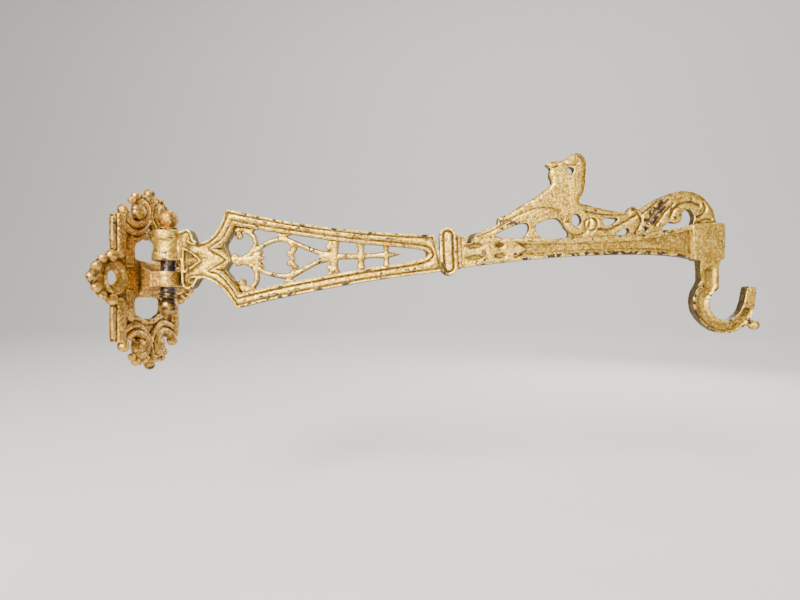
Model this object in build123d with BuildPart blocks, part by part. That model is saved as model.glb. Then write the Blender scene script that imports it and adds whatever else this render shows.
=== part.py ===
"""Cast-iron swing-arm wall bracket: a pierced plate, an arm with a hook, and the pin between them.

Millimetres. +X points out of the wall, +Y runs across the plate, +Z is up, and the origin is
the centre of the plate's back face. The arm is made in a plane of its own, with u along the
arm from the pin axis and v up, so its outlines read as they would on a pattern maker's board.
"""

import os
from math import cos, radians, sin

from build123d import *

os.makedirs("parts", exist_ok=True)

# How the arm stands
SWING_AT_REST = 10.0  # degrees past square to the wall, towards +Y
ARM_RISE = 2.2  # degrees that the arm climbs from the pin to the hook
ARM_LEVEL = 8.6  # height of the arm's centre line at the pin axis
PIN_OUT = 14.0  # pin axis in front of the wall

# Wall plate
WEB_T = 2.6
RAIL_T = 4.9
RAIL_IN, RAIL_OUT = 20.6, 28.4
RAIL_LOW, RAIL_HIGH = 11.7, 31.8
SCREW_S = 27.5  # each screw hole from the plate's middle
SCREW_R = 3.35
SINK_R = 6.4
BOSS_R, BOSS_T = 8.0, 3.9
RING_WEB_R = 12.2
RING_BALLS = ((0, 16.8, 2.6), (21, 13.6, 2.7), (51, 11.5, 2.6), (89, 11.5, 3.4))  # angle, reach, radius
WINDOW_MID, WINDOW_W, WINDOW_H = 15.2, 24.4, 11.2

# Hinge
PIN_R = 4.0
PIN_FIT = 0.06  # radial clearance of the pin in its two bores
TENON_R = 2.8
LUG_EYE_R, LUG_HALF, LUG_ROOT_HALF = 7.4, 4.1, 8.0
WEDGE_FROM, WEDGE_TO = 3.0, 7.4  # the lug thins from its root to its eye between these X
KNUCKLE_R, KNUCKLE_LOW, KNUCKLE_HIGH = 8.4, 9.8, 26.0
BAND_GROW = 0.6  # the knuckle's end bands stand this far proud of its waist
NUT_TOP = -7.2
FINIAL_SEAT = KNUCKLE_HIGH + 0.3  # running gap above the knuckle
BALL_FINIAL_R = 5.1

# Arm
ROOT_HALF_T, BAR_HALF_T = 4.6, 3.2
WORK_HALF_T = 2.3  # openwork, sunk from both faces
CREST_HALF_T = 2.5
COLLAR_HALF_T, BLOCK_HALF_T = 4.2, 4.0
STROKE = 2.3
HOOK_U, HOOK_V, HOOK_IN_R, HOOK_OUT_R = 296.2, -32.2, 9.3, 16.4
SHANK_LEFT, SHANK_RIGHT = 282.8, 292.8

# Planes
WALL = Plane(origin=(0, 0, 0), x_dir=(0, 1, 0), z_dir=(1, 0, 0))
swing, rise = radians(SWING_AT_REST), radians(ARM_RISE)
along = (cos(swing) * cos(rise), sin(swing) * cos(rise), sin(rise))
out_of_face = (sin(swing), -cos(swing), 0)
ARM = Plane(origin=(PIN_OUT, 0, ARM_LEVEL), x_dir=along, z_dir=out_of_face)


def pin_plane(height):
    """The level plane at a height, centred on the pin axis."""
    return Plane(origin=(PIN_OUT, 0, height))


both_sides = (-1, 1)
quarters = [(s, h) for s in both_sides for h in both_sides]

# Wall plate: a flat web with two windows, four rounded rails, a screw boss each side with a
# ring of balls, scrolls and a drop finial at top and bottom, and the hinge lug in the middle.
with BuildPart() as wall_plate:
    with BuildSketch(WALL):
        Rectangle(2 * RAIL_OUT, 2 * RAIL_HIGH)
        with Locations(*[(s * (SCREW_S + 2.5), 0) for s in both_sides]):
            Circle(RING_WEB_R)
        with Locations(*[(s * 9.2, h * 36.8) for s, h in quarters]):
            Circle(6.6)
        with Locations(*[(s * 21.0, h * 34.0) for s, h in quarters]):
            Circle(3.4)
        Rectangle(7.0, 88.0)
        with Locations((0, WINDOW_MID), (0, -WINDOW_MID)):
            RectangleRounded(WINDOW_W, WINDOW_H, 3.0, mode=Mode.SUBTRACT)
        with Locations(*[(s * SCREW_S, 0) for s in both_sides]):
            Circle(SCREW_R, mode=Mode.SUBTRACT)
    extrude(amount=WEB_T)
    # Rails: a D-section run up each side, above and below the screw bosses.
    for s, h in quarters:
        start = RAIL_LOW if h > 0 else -RAIL_HIGH
        with BuildSketch(Plane.XY.offset(start)):
            with BuildLine():
                Line((0, s * RAIL_OUT), (0, s * RAIL_IN))
                Line((0, s * RAIL_IN), (WEB_T, s * RAIL_IN))
                ThreePointArc(
                    (WEB_T, s * RAIL_IN), (RAIL_T, s * (RAIL_IN + RAIL_OUT) / 2), (WEB_T, s * RAIL_OUT)
                )
                Line((WEB_T, s * RAIL_OUT), (0, s * RAIL_OUT))
            make_face()
        extrude(amount=RAIL_HIGH - RAIL_LOW)
    # Screw bosses, each with a countersunk hole.
    with BuildSketch(WALL):
        with Locations(*[(s * SCREW_S, 0) for s in both_sides]):
            Circle(BOSS_R)
    extrude(amount=BOSS_T)
    with Locations(*[Plane((BOSS_T, s * SCREW_S, 0), z_dir=(1, 0, 0)) for s in both_sides]):
        CounterSinkHole(radius=SCREW_R, counter_sink_radius=SINK_R)
    # Balls round the outer side of each boss, running out to a point on the centre line.
    for s in both_sides:
        for turn, reach, size in RING_BALLS:
            out, up = reach * cos(radians(turn)), reach * sin(radians(turn))
            heights = (up, -up) if turn else (0,)
            with Locations(*[(WEB_T, s * (SCREW_S + out), h) for h in heights]):
                Sphere(size)
    # Volutes, scroll ends and drop finials at top and bottom.
    for h in both_sides:
        for s in both_sides:
            with Locations((WEB_T, s * 9.2, h * 36.8)):
                Sphere(4.2)
            with Locations((WEB_T, s * 21.0, h * 34.0)):
                Sphere(3.2)
            with Locations((WEB_T, s * 15.4, h * 39.6)):
                Sphere(2.2)
            with Locations((WEB_T, s * 10.8, h * 42.6)):
                Sphere(2.2)
        with Locations((WEB_T, 0, h * 44.4)):
            Sphere(4.3)
    # Everything below the balls' middles that would stand behind the wall is cut away.
    with BuildSketch(WALL):
        Rectangle(120, 120)
    extrude(amount=-10, mode=Mode.SUBTRACT)
    # Hinge lug: a wedge off the web that runs into a round eye.
    with BuildSketch(Plane.XZ):
        with BuildLine():
            Polyline(
                (0, LUG_ROOT_HALF),
                (WEDGE_FROM, LUG_ROOT_HALF),
                (WEDGE_TO, LUG_HALF),
                (PIN_OUT, LUG_HALF),
                (PIN_OUT, -LUG_HALF),
                (WEDGE_TO, -LUG_HALF),
                (WEDGE_FROM, -LUG_ROOT_HALF),
                (0, -LUG_ROOT_HALF),
                close=True,
            )
        make_face()
    extrude(amount=LUG_EYE_R, both=True)
    with BuildSketch(pin_plane(-LUG_HALF)):
        Circle(LUG_EYE_R)
    extrude(amount=2 * LUG_HALF)
    with BuildSketch(pin_plane(-LUG_ROOT_HALF)):
        Circle(PIN_R + PIN_FIT)
    extrude(amount=2 * LUG_ROOT_HALF, mode=Mode.SUBTRACT)
wall_plate.part.label = "wall_plate"

# Swing arm, one casting. Its frame tapers in thickness from the knuckle to the collar.
with BuildPart() as swing_arm:
    with BuildSketch(ARM):
        with BuildLine():
            # upper ear, concave shoulder and top edge
            Spline((4.0, 16.4), (11.4, 17.4), (14.6, 14.6), (18.6, 10.1))
            Spline((18.6, 10.1), (25.2, 12.8), (30.6, 20.0), (33.4, 27.2), tangents=((1, -0.1), (0.3, 1)))
            Spline((33.4, 27.2), (67.0, 18.9), (106.0, 12.6), (146.0, 9.2))
            Line((146.0, 9.2), (146.0, -9.9))
            Spline((146.0, -9.9), (105.0, -13.9), (65.5, -19.7), (36.4, -25.4))
            Spline((36.4, -25.4), (33.2, -19.8), (27.6, -13.2), (18.8, -8.7), tangents=((-0.4, 1), (-1, 0.1)))
            # lower ear and the flat beside the lug
            Spline((18.8, -8.7), (15.2, -12.4), (11.4, -14.3), (8.4, -11.6))
            Polyline((8.4, -11.6), (8.3, 1.4), (4.0, 1.4), (4.0, 16.4))
        make_face()
        # the pierced panel: a corner to each side of a point that faces the knuckle
        with BuildLine():
            Line((34.0, 0.4), (31.4, 7.6))
            Line((31.4, 7.6), (37.0, 18.8))
            Spline((37.0, 18.8), (67.0, 12.6), (105.8, 6.4), (136.0, 3.4))
            ThreePointArc((136.0, 3.4), (139.0, -0.4), (136.0, -4.4))
            Spline((136.0, -4.4), (105.2, -7.8), (66.0, -13.4), (38.8, -18.4))
            Line((38.8, -18.4), (32.4, -7.0))
            Line((32.4, -7.0), (34.0, 0.4))
        make_face(mode=Mode.SUBTRACT)
    extrude(amount=ROOT_HALF_T, both=True)
    # Side view of the frame, thick at the knuckle and thin at the collar.
    with BuildSketch(Plane(origin=ARM.origin, x_dir=along, z_dir=(-ARM.y_dir))):
        with BuildLine():
            Polyline(
                (-10, ROOT_HALF_T),
                (30, ROOT_HALF_T),
                (150, BAR_HALF_T),
                (150, -BAR_HALF_T),
                (30, -ROOT_HALF_T),
                (-10, -ROOT_HALF_T),
                close=True,
            )
        make_face()
    extrude(amount=60, both=True, mode=Mode.INTERSECT)

    # Openwork: two scrolls, a heart, a long tapering cross with three pairs of arms.
    with BuildSketch(ARM):
        for side, knob_v in ((1, 7.9), (-1, -7.6)):
            with Locations((38.4, knob_v)):
                Circle(9.0)
                Circle(9.0 - STROKE, mode=Mode.SUBTRACT)
    extrude(amount=WORK_HALF_T, both=True)
    with BuildSketch(ARM):
        with Locations((38.4, 16.6), (39.4, -15.8)):
            Circle(4.0)
        with Locations((36.0, 0.4)):
            Circle(2.8)
        with BuildLine():
            Polyline((32.0, 1.6), (50.0, 2.4), (50.0, -2.4), (32.0, -1.6), close=True)
        make_face()
        with BuildLine():
            heart_top = Spline((48.0, 4.6), (54.0, 9.0), (62.0, 10.6), (67.2, 6.6), (66.2, 1.6))
        trace(heart_top, line_width=STROKE)
        with BuildLine():
            heart_foot = Spline((48.0, -4.2), (54.0, -7.6), (62.0, -9.6), (68.0, -6.6), (66.2, -1.6))
        trace(heart_foot, line_width=STROKE)
        with BuildLine():
            bar_top = Line((61.0, 11.6), (86.0, 1.0))
        trace(bar_top, line_width=STROKE)
        with BuildLine():
            bar_foot = Line((63.0, -10.8), (86.0, -1.0))
        trace(bar_foot, line_width=STROKE)
        with Locations((62.6, 12.2), (64.4, -12.0)):
            Circle(2.0)
        with BuildLine():
            Polyline((82.0, 1.6), (112.0, 1.0), (124.2, 0), (112.0, -1.0), (82.0, -1.6), close=True)
        make_face()
        for cross_u, reach, width in ((88.6, 9.8, 4.8), (103.2, 7.6, 3.8), (116.8, 5.9, 2.8)):
            with Locations((cross_u, -0.6)):
                Rectangle(width, 2 * reach)
    extrude(amount=WORK_HALF_T, both=True)

    # Collar, waisted bar and end block
    with BuildSketch(ARM):
        with Locations((150.0, 0.4)):
            SlotOverall(25.4, 8.6, rotation=90)
    extrude(amount=COLLAR_HALF_T, both=True)
    with BuildSketch(ARM):
        with BuildLine():
            Spline((150.0, 8.6), (191.0, 5.8), (223.0, 5.0), (252.0, 5.2), (281.0, 9.0))
            Line((281.0, 9.0), (281.0, -8.8))
            Spline((281.0, -8.8), (264.0, -6.2), (230.0, -4.4), (190.0, -5.8), (150.0, -9.4))
            Line((150.0, -9.4), (150.0, 8.6))
        make_face()
    extrude(amount=BAR_HALF_T, both=True)
    with BuildSketch(ARM):
        with Locations((287.6, 0)):
            RectangleRounded(17.4, 19.8, 1.2)
    extrude(amount=BLOCK_HALF_T, both=True)

    # Bird and foliage along the bar's top edge
    with BuildSketch(ARM):
        with BuildLine():
            Spline((160.0, 7.0), (168.0, 10.2), (176.6, 14.4))
            Line((176.6, 14.4), (178.2, 18.2))
            Spline((178.2, 18.2), (190.0, 23.4), (199.8, 29.3), (205.4, 33.6))
            Spline((205.4, 33.6), (206.4, 37.6), (205.2, 41.6), (203.4, 44.8))
            Spline((203.4, 44.8), (210.0, 46.0), (214.8, 47.8), (219.6, 50.2))
            Spline((219.6, 50.2), (223.8, 47.8), (224.6, 41.4), (223.6, 31.4), (220.6, 23.6))
            Spline((220.6, 23.6), (230.8, 20.4), (246.0, 17.3))
            Spline((246.0, 17.3), (248.6, 19.6), (252.0, 18.4))
            Spline((252.0, 18.4), (262.0, 24.2), (275.0, 27.6), (287.6, 23.4), (292.6, 12.0), (292.6, 8.0))
            Polyline((292.6, 8.0), (280.0, 8.0), (252.0, 3.0), (191.0, 3.0), (160.0, 7.0))
        make_face()
        # daylight under the belly, in front of the leg and behind it
        with BuildLine():
            Spline((175.6, 8.4), (184.0, 12.6), (192.4, 13.8))
            Polyline((192.4, 13.8), (192.6, 8.0), (190.4, 6.5), (175.6, 8.4))
        make_face(mode=Mode.SUBTRACT)
        with BuildLine():
            Spline((196.8, 12.0), (202.0, 15.4), (208.6, 14.6), (213.8, 6.6))
            Polyline((213.8, 6.6), (199.6, 6.4), (196.8, 8.4), (196.8, 12.0))
        make_face(mode=Mode.SUBTRACT)
        # scroll eye, bird's eye, slits between the leaves
        with Locations((218.3, 14.6)):
            Circle(2.8, mode=Mode.SUBTRACT)
        with Locations((216.4, 41.0)):
            Circle(1.9, mode=Mode.SUBTRACT)
        with Locations((236.4, 13.3)):
            SlotOverall(6.6, 3.0, mode=Mode.SUBTRACT)
        with Locations((277.3, 14.6)):
            Circle(2.9, mode=Mode.SUBTRACT)
    extrude(amount=CREST_HALF_T, both=True)

    # Shank and hook
    with BuildSketch(ARM):
        with BuildLine():
            Line((SHANK_LEFT, -8.0), (SHANK_RIGHT, -8.0))
            Line((SHANK_RIGHT, -8.0), (SHANK_RIGHT, -24.9))
            ThreePointArc((SHANK_RIGHT, -24.9), (HOOK_U, HOOK_V - HOOK_IN_R), (305.2, -34.4))
            Line((305.2, -34.4), (307.2, -24.2))
            Line((307.2, -24.2), (312.6, -25.0))
            Line((312.6, -25.0), (310.4, -38.6))
            ThreePointArc((310.4, -38.6), (HOOK_U - 3.0, HOOK_V - HOOK_OUT_R), (280.4, -25.2))
            Polyline((280.4, -25.2), (SHANK_LEFT, -22.0), (SHANK_LEFT, -8.0))
        make_face()
    extrude(amount=BAR_HALF_T, both=True)
    with Locations(ARM.from_local_coords((311.6, -44.6, 0))):
        Sphere(3.0)
    with BuildSketch(ARM):
        with BuildLine():
            knob_neck = Line((306.6, -41.4), (311.0, -44.2))
        trace(knob_neck, line_width=3.6)
    extrude(amount=1.8, both=True)

    # Knuckle: a waist between two bands, bored for the pin
    with BuildSketch(pin_plane(KNUCKLE_LOW)):
        Circle(KNUCKLE_R - BAND_GROW)
    extrude(amount=KNUCKLE_HIGH - KNUCKLE_LOW)
    for band_low, band_high in ((KNUCKLE_LOW, 14.6), (21.4, KNUCKLE_HIGH)):
        with BuildSketch(pin_plane(band_low)):
            Circle(KNUCKLE_R)
        extrude(amount=band_high - band_low)
    with BuildSketch(pin_plane(KNUCKLE_LOW - 2)):
        Circle(PIN_R + PIN_FIT)
    extrude(amount=KNUCKLE_HIGH - KNUCKLE_LOW + 4, mode=Mode.SUBTRACT)
swing_arm.part.label = "swing_arm"

# Hinge pin: a plain shank with a thinner tenon at each end for the finials
with BuildPart() as hinge_pin:
    with BuildSketch(pin_plane(NUT_TOP)):
        Circle(PIN_R)
    extrude(amount=FINIAL_SEAT - NUT_TOP)
    with BuildSketch(pin_plane(NUT_TOP - 6)):
        Circle(TENON_R)
    extrude(amount=FINIAL_SEAT - NUT_TOP + 11)
hinge_pin.part.label = "hinge_pin"

# Top finial: a ball on a turned neck
with BuildPart() as top_finial:
    with BuildSketch(pin_plane(FINIAL_SEAT)):
        Circle(4.5)
    extrude(amount=3)
    with Locations((PIN_OUT, 0, FINIAL_SEAT + 5.8)):
        Sphere(BALL_FINIAL_R)
    with BuildSketch(pin_plane(FINIAL_SEAT)):
        Circle(TENON_R)
    extrude(amount=5, mode=Mode.SUBTRACT)
top_finial.part.label = "top_finial"

# Bottom finial: a collar and a domed nut that keep the pin in the lug
with BuildPart() as bottom_finial:
    with BuildSketch(pin_plane(NUT_TOP)):
        Circle(4.7)
    extrude(amount=-3.4)
    with Locations((PIN_OUT, 0, NUT_TOP - 6.3)):
        Sphere(BALL_FINIAL_R)
    with BuildSketch(pin_plane(NUT_TOP)):
        Circle(TENON_R)
    extrude(amount=-6, mode=Mode.SUBTRACT)
bottom_finial.part.label = "bottom_finial"

for piece in (wall_plate, swing_arm, hinge_pin, top_finial, bottom_finial):
    export_step(piece.part, f"parts/{piece.part.label}.step")
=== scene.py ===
from math import cos, pi, radians, sin

import bmesh
import bpy
import numpy as np
from mathutils import Matrix, Vector, kdtree


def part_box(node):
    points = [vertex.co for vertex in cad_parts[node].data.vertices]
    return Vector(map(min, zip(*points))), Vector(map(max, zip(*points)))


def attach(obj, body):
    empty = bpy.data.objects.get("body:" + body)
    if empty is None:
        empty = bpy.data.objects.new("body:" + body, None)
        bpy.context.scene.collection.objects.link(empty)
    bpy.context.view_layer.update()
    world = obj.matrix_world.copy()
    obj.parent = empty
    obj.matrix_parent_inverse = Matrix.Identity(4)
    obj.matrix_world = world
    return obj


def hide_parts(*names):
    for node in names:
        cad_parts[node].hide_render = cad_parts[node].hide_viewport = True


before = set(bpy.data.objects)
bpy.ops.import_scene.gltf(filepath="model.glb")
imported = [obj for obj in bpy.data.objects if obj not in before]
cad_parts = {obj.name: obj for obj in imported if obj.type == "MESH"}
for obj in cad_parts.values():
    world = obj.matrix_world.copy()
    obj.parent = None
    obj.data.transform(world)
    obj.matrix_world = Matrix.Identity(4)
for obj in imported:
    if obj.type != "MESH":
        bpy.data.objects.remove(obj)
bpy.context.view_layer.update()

MM = 0.001


# ---- Wall plate ----
# The plate is one grey-iron casting, flat behind and modelled in front: rails, scrolls, balls
# and the hinge lug came out of the sand together, so its pieces are fused into one skin here.
# It was painted with bronze powder long ago; the high spots are rubbed pale with painted highlight, and the
# hollows carry painted shade.
def board(origin, along, up, out):
    """Takes millimetres on a drawing board (along, up, out of it) to the frame's metres."""
    turn = Matrix((along, up, out)).transposed().to_4x4()
    return Matrix.Translation(Vector(origin) * MM) @ turn @ Matrix.Scale(MM, 4)


def measured(place, drawing):
    """The frame's metres as millimetres on a drawing board."""
    back = np.array(drawing.inverted())
    return place @ back[:3, :3].T + back[:3, 3]


def outward(drawing):
    """The way that a drawing board faces, in the frame."""
    return np.array(drawing.to_3x3().normalized().col[2])


def skin_of(mesh):
    """A mesh's points and the way each one faces, in rows."""
    place, facing = np.empty(len(mesh.vertices) * 3), np.empty(len(mesh.vertices) * 3)
    mesh.vertices.foreach_get("co", place)
    mesh.vertex_normals.foreach_get("vector", facing)
    return place.reshape(-1, 3), facing.reshape(-1, 3)


def fair(points, closed=False, steps=5):
    """A fair line through the points, as a pattern maker would bend a batten through them."""
    p = np.array(points, float)
    ends = (p[-1], p[0], p[1]) if closed else (2 * p[0] - p[1], 2 * p[-1] - p[-2])
    around = np.vstack([ends[0], p, *ends[1:]])
    line = []
    for a, b, c, d in zip(around, around[1:], around[2:], around[3:]):
        for t in np.arange(steps) / steps:
            bend = (2 * a - 5 * b + 4 * c - d) * t**2 + (3 * b - a - 3 * c + d) * t**3
            line.append((2 * b + (c - a) * t + bend) / 2)
    if not closed:
        line.append(p[-1])
    return np.array(line)


def from_curve(data, place):
    """The mesh of a curve, put in its place, with the curve thrown away."""
    holder = bpy.data.objects.new("pattern", data)
    mesh = bpy.data.meshes.new_from_object(holder)
    mesh.transform(place)
    bpy.data.objects.remove(holder)
    bpy.data.curves.remove(data)
    return mesh


def slab(drawing, rim, low, high, holes=()):
    """A flat piece of pattern wood cut to a rim, from one level to another."""
    data = bpy.data.curves.new("slab", "CURVE")
    data.dimensions, data.fill_mode = "2D", "BOTH"
    data.extrude = (high - low) / 2
    for line in (rim, *holes):
        spline = data.splines.new("POLY")
        spline.points.add(len(line) - 1)
        spline.points.foreach_set("co", np.insert(np.array(line), 2, [[0], [1]], axis=1).ravel())
        spline.use_cyclic_u = True
    return from_curve(data, drawing @ Matrix.Translation((0, 0, (low + high) / 2)))


def roll(drawing, path, radii, level, flat=1.0):
    """A round moulding along a path; radii is one size or one for each point."""
    data = bpy.data.curves.new("roll", "CURVE")
    data.dimensions, data.bevel_depth, data.use_fill_caps = "3D", 1.0, True
    spline = data.splines.new("POLY")
    spline.points.add(len(path) - 1)
    spline.points.foreach_set("co", np.insert(np.array(path), 2, [[0], [1]], axis=1).ravel())
    spline.points.foreach_set("radius", np.broadcast_to(radii, len(path)).astype(float))
    place = drawing @ Matrix.Translation((0, 0, level)) @ Matrix.Diagonal((1, 1, flat, 1))
    return from_curve(data, place)


def drawn(drawing, points, radii, level, flat=1.0, steps=5):
    """A roll along a fair line, its sizes easing from point to point."""
    known = np.arange(len(points))
    between = np.linspace(0, len(points) - 1, (len(points) - 1) * steps + 1)
    sizes = np.interp(between, known, np.broadcast_to(radii, len(points)))
    return roll(drawing, fair(points, steps=steps), sizes, level, flat)


def ball(drawing, place, radius, flat=1.0):
    """A bead or lobe of the pattern."""
    bm = bmesh.new()
    bmesh.ops.create_icosphere(bm, subdivisions=3, radius=radius)
    mesh = bpy.data.meshes.new("ball")
    bm.to_mesh(mesh)
    bm.free()
    mesh.transform(drawing @ Matrix.Translation(place) @ Matrix.Diagonal((1, 1, flat, 1)))
    return mesh


def turned(drawing, place, profile, around=64):
    """A closed profile of (radius, height) points turned about an axis that stands on the board."""
    steps = np.arange(around) * 2 * pi / around
    rings = [[(r * cos(a), r * sin(a), h) for a in steps] for r, h in profile]
    faces = []
    for i in range(len(profile)):
        j = (i + 1) % len(profile)
        for k in range(around):
            m = (k + 1) % around
            faces.append((i * around + k, i * around + m, j * around + m, j * around + k))
    mesh = bpy.data.meshes.new("turned")
    mesh.from_pydata([point for ring in rings for point in ring], [], faces)
    bm = bmesh.new()
    bm.from_mesh(mesh)
    bmesh.ops.remove_doubles(bm, verts=bm.verts, dist=1e-5)
    bmesh.ops.recalc_face_normals(bm, faces=bm.faces)
    bm.to_mesh(mesh)
    bm.free()
    mesh.transform(drawing @ Matrix.Translation(place))
    return mesh


def apply_all(piece):
    """Writes a piece's modifiers into its mesh."""
    shown = piece.evaluated_get(bpy.context.evaluated_depsgraph_get())
    mesh = bpy.data.meshes.new_from_object(shown)
    piece.modifiers.clear()
    old, piece.data = piece.data, mesh
    bpy.data.meshes.remove(old)


def cast(name, patterns, grain, passes):
    """Pours a casting round its patterns: one skin of grain millimetres, dressed by smoothing."""
    bm = bmesh.new()
    for mesh in patterns:
        bm.from_mesh(mesh)
        bpy.data.meshes.remove(mesh)
    bmesh.ops.remove_doubles(bm, verts=bm.verts, dist=1e-7)
    whole = bpy.data.meshes.new(name)
    bm.to_mesh(whole)
    bm.free()
    piece = bpy.data.objects.new(name, whole)
    bpy.context.collection.objects.link(piece)
    skin = piece.modifiers.new("skin", "REMESH")
    skin.mode, skin.voxel_size = "VOXEL", grain * MM
    dressing = piece.modifiers.new("dressing", "SMOOTH")
    dressing.factor, dressing.iterations = 0.5, passes
    apply_all(piece)
    return piece


def wear_shade_and_thin(piece, most, drawing=None, walls=0.0, knocks=()):
    """Marks each point's wear and painted shade on the even skin, then thins it and carries the marks over.

    Relief is how far, in mm, a point stands out of the skin close round it, or lies below it,
    and hollow how far it lies below the skin some millimetres round. Aside is how far it faces
    away from the drawing, up to the walls' height. Knocks are spots on the drawing, (along, up,
    size), where the piece has been hit and has lost more of its paint.
    """
    mesh = piece.data
    count = len(mesh.vertices)
    place, facing = skin_of(mesh)
    place = place / MM
    ends = np.empty(len(mesh.edges) * 2, np.int64)
    mesh.edges.foreach_get("vertices", ends)
    a, b = ends.reshape(-1, 2).T
    links = np.maximum(np.bincount(a, minlength=count) + np.bincount(b, minlength=count), 1)

    def spread(values):
        """Each point takes half of its neighbours' mean."""
        total = np.bincount(a, values[b], count) + np.bincount(b, values[a], count)
        return (values + total / links) / 2

    soft, marks = place, {}
    for name, rounds in (("relief", 7), ("hollow", 60)):
        for _ in range(rounds):
            soft = np.column_stack([spread(soft[:, k]) for k in range(3)])
        marks[name] = spread(((place - soft) * facing).sum(axis=1))
    marks["hollow"] = np.maximum(-marks["hollow"], 0)
    if drawing:
        on_board = measured(place * MM, drawing)
        low = np.clip((walls + 1.5 - np.abs(on_board[:, 2])) / 1.5, 0, 1)
        marks["aside"] = spread((1 - np.abs(facing @ outward(drawing))) * low)
    if len(mesh.polygons) * 2 > most:
        cut = piece.modifiers.new("cut", "DECIMATE")
        cut.ratio = most / len(mesh.polygons) / 2
        tree = kdtree.KDTree(count)
        for index, point in enumerate(place):
            tree.insert(point, index)
        tree.balance()
        apply_all(piece)
        nearest = [tree.find(vertex.co / MM)[1] for vertex in piece.data.vertices]
    else:
        nearest = range(count)
    marks["knock"] = np.zeros(count)
    for *spot, size in knocks:
        gone = np.exp(-(((on_board[:, :2] - spot) / size) ** 2).sum(axis=1))
        marks["knock"] = np.maximum(marks["knock"], gone)
    for name, values in marks.items():
        layer = piece.data.attributes.new(name, "FLOAT", "POINT")
        layer.data.foreach_set("value", values[list(nearest)].astype(np.float32))
    piece.data.polygons.foreach_set("use_smooth", [True] * len(piece.data.polygons))


grain = 0.36
plate_board = board((0, 0, 0), (0, 1, 0), (0, 0, 1), (1, 0, 0))
pin_out = 14.0
pin_board = board((pin_out, 0, 0), (1, 0, 0), (0, 1, 0), (0, 0, 1))
bore = 4.3
screw_s = 27.5
web, web_edge, web_end = 2.6, 28.2, 32.0
circle = np.array([(cos(a), sin(a)) for a in np.arange(0, 2 * pi, pi / 24)])

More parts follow.
